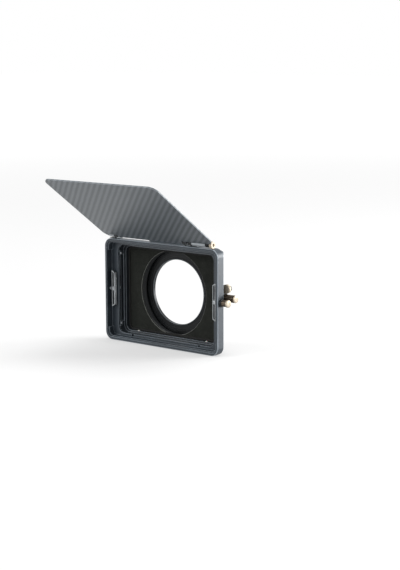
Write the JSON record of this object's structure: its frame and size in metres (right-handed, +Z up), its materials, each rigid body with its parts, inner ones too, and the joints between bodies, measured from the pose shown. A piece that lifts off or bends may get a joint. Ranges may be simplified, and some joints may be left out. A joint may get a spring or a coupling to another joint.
{
  "type": "matte box",
  "caption": "Clip-on rectangular matte box: stepped filter frame, round lens collar, sprung filter catches and knobs at the side, and a hinged carbon top flag raised forward.",
  "frame": {"origin": "where the optical axis meets the rear rim of the lens collar, at the centre of the opening that takes the lens", "axes": "+X to the right seen from the front, +Y back along the optical axis towards the camera, +Z up"},
  "size_m": [0.185, 0.1468, 0.1981],
  "materials": {
    "shell": "fine satin",
    "flocked": "light-trapping matte",
    "anodised": "black anodised satin",
    "carbon": "twill weave under satin resin",
    "brass": "pale polished",
    "bronze": "dark oxidised, knurled",
    "steel": "turned",
    "black_steel": "black oxide",
    "grey_alloy": "grey anodised",
    "rubber": "matte",
    "nylon": "smooth"
  },
  "bodies": {
    "root": {"front_frame": "shell", "rear_frame": "shell", "window_gasket": "rubber", "back_plate": "flocked", "frame_screw_1": "steel", "frame_screw_2": "steel", "frame_screw_3": "steel", "frame_screw_4": "steel", "lens_collar": "anodised", "clamp_nut": "steel", "step_ring": "anodised", "grip_ring": "rubber", "clip_base_ring": "anodised", "clip_housing": "bronze", "right_clip_spring": "steel", "left_clip_spring": "steel", "side_bracket": "anodised", "side_bracket_screw_1": "steel", "side_bracket_screw_2": "steel", "latch_housing": "bronze", "latch_spring": "steel", "stage_pin_housing": "anodised", "stage_pin_spring": "steel", "right_hinge_bracket": "anodised", "left_hinge_bracket": "anodised", "hinge_bracket_screw_1": "black_steel", "hinge_bracket_screw_2": "black_steel", "hinge_bracket_screw_3": "black_steel", "right_hinge_pin": "black_steel", "left_hinge_pin": "black_steel", "hinge_washer": "black_steel", "top_rail": "anodised", "top_rail_screw_1": "steel", "top_rail_screw_2": "steel"},
    "flag": {"flag_panel": "carbon", "right_hinge_leaf": "grey_alloy", "left_hinge_leaf": "grey_alloy", "flag_rivet_1": "anodised", "flag_rivet_2": "anodised", "flag_rivet_3": "anodised"},
    "tension_knob": {"hinge_knob": "brass"},
    "right_clip": {"right_clip_bar": "grey_alloy", "right_clip_stem": "steel", "right_clip_cap": "brass"},
    "left_clip": {"left_clip_bar": "grey_alloy", "left_clip_stem": "steel"},
    "rear_latch": {"latch_pin": "steel", "latch_cap": "brass"},
    "left_stage_pin": {"stage_pin": "steel"},
    "side_thumb": {"side_thumb_screw": "brass"},
    "collar_clamp": {"clamp_screw": "steel"},
    "ball_left_upper_tip": {"ball_left_upper": "steel"},
    "ball_left_lower_tip": {"ball_left_lower": "steel"},
    "ball_right_upper_tip": {"ball_right_upper": "steel"},
    "ball_right_lower_tip": {"ball_right_lower": "steel"},
    "ball_bottom_left_tip": {"ball_bottom_left": "nylon"},
    "ball_bottom_right_tip": {"ball_bottom_right": "nylon"}
  },
  "joints": [
    {"name": "flag_fold", "type": "hinge", "parent": "root", "child": "flag", "pos_m": [0, -0.0432, 0.0649], "axis": [-1, 0, 0], "range_deg": [-82, 60]},
    {"name": "tension_knob_turn", "type": "hinge", "parent": "root", "child": "tension_knob", "pos_m": [0.0774, -0.0432, 0.0649], "axis": [1, 0, 0], "range_deg": [0, 360]},
    {"name": "right_clip_pull", "type": "slide", "parent": "root", "child": "right_clip", "axis": [1, 0, 0], "range_m": [0, 0.003], "stiffness_N_per_m": 300, "springref_m": -0.004, "deforming": ["right_clip_spring"]},
    {"name": "left_clip_press", "type": "slide", "parent": "root", "child": "left_clip", "axis": [-1, 0, 0], "range_m": [0, 0.0012], "stiffness_N_per_m": 500, "springref_m": -0.003, "deforming": ["left_clip_spring"]},
    {"name": "rear_latch_pull", "type": "slide", "parent": "root", "child": "rear_latch", "axis": [1, 0, 0], "range_m": [0, 0.003], "stiffness_N_per_m": 300, "springref_m": -0.004, "deforming": ["latch_spring"]},
    {"name": "left_stage_pin_press", "type": "slide", "parent": "root", "child": "left_stage_pin", "axis": [-1, 0, 0], "range_m": [0, 0.001], "stiffness_N_per_m": 400, "springref_m": -0.003, "deforming": ["stage_pin_spring"]},
    {"name": "side_thumb_turn", "type": "hinge", "parent": "root", "child": "side_thumb", "pos_m": [0.0842, -0.0264, 0.0142], "axis": [0, 1, 0], "range_deg": [0, 360]},
    {"name": "collar_clamp_turn", "type": "hinge", "parent": "root", "child": "collar_clamp", "pos_m": [0.0578, -0.0102, 0], "axis": [0, 0, 1], "range_deg": [0, 360]},
    {"name": "ball_left_upper_press", "type": "slide", "parent": "root", "child": "ball_left_upper_tip", "axis": [-1, 0, 0], "range_m": [0, 0.0012], "stiffness_N_per_m": 150, "springref_m": -0.002},
    {"name": "ball_left_lower_press", "type": "slide", "parent": "root", "child": "ball_left_lower_tip", "axis": [-1, 0, 0], "range_m": [0, 0.0012], "stiffness_N_per_m": 150, "springref_m": -0.002},
    {"name": "ball_right_upper_press", "type": "slide", "parent": "root", "child": "ball_right_upper_tip", "axis": [1, 0, 0], "range_m": [0, 0.0012], "stiffness_N_per_m": 150, "springref_m": -0.002},
    {"name": "ball_right_lower_press", "type": "slide", "parent": "root", "child": "ball_right_lower_tip", "axis": [1, 0, 0], "range_m": [0, 0.0012], "stiffness_N_per_m": 150, "springref_m": -0.002},
    {"name": "ball_bottom_left_press", "type": "slide", "parent": "root", "child": "ball_bottom_left_tip", "axis": [0, 0, -1], "range_m": [0, 0.0007], "stiffness_N_per_m": 150, "springref_m": -0.002},
    {"name": "ball_bottom_right_press", "type": "slide", "parent": "root", "child": "ball_bottom_right_tip", "axis": [0, 0, -1], "range_m": [0, 0.0007], "stiffness_N_per_m": 150, "springref_m": -0.002}
  ]
}
